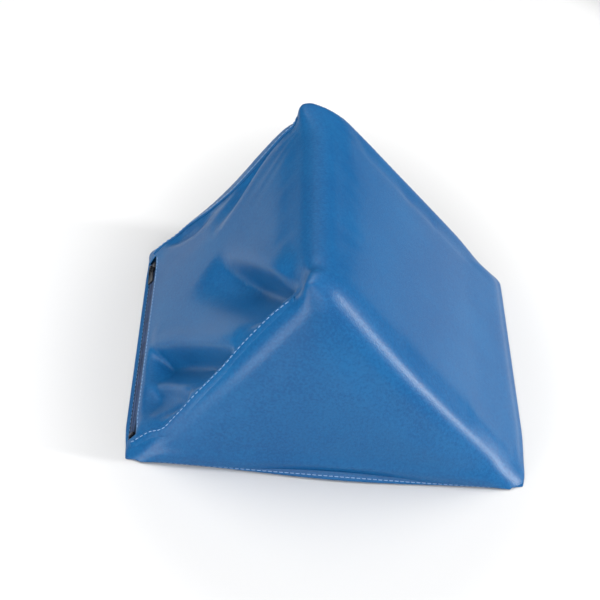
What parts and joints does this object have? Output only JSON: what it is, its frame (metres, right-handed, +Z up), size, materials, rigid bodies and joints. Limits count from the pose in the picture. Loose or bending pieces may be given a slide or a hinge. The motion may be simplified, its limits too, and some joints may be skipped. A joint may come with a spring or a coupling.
{
  "type": "incline wedge mat",
  "caption": "Foam wedge of triangular section in a sewn vinyl cover with slack back slope and a zip along its foot, lying on its broad base.",
  "frame": {"origin": "middle of the base, on the surface that the wedge lies on", "axes": "+X towards the foot of the long working slope, -X towards the foot of the steeper back slope that holds the zip, -Y the front triangular end, +Z up; the ridge runs along Y"},
  "size_m": [0.356, 0.3066, 0.1996],
  "materials": {
    "vinyl": "satin",
    "foam": "matte",
    "zip_tape": "matte",
    "zip_nylon": "satin",
    "nickel": "satin",
    "thread": "matte"
  },
  "bodies": {
    "mat": {"foam_core": "foam", "top_cover": "vinyl", "base_panel": "vinyl", "zip_tape_upper": "zip_tape", "zip_tape_lower": "zip_tape", "zip_coil_upper": "zip_nylon", "zip_coil_lower": "zip_nylon", "top_stop_upper": "nickel", "top_stop_lower": "nickel", "bottom_stop": "nickel", "stitches_back_front": "thread", "stitches_back_rear": "thread", "stitches_base_front": "thread", "stitches_base_rear": "thread", "stitches_base_right": "thread", "stitches_zip_upper": "thread", "stitches_zip_lower": "thread"},
    "slider": {"zip_slider": "nickel"},
    "pull": {"zip_pull": "nickel"}
  },
  "joints": [
    {"name": "slider_run", "type": "slide", "parent": "mat", "child": "slider", "axis": [0, -1, 0], "range_m": [0, 0.2335]},
    {"name": "pull_swing", "type": "hinge", "parent": "slider", "child": "pull", "pos_m": [-0.17416, 0.1133, 0.01022], "axis": [-0.5949, 0, -0.8038], "range_deg": [0, 180]}
  ]
}
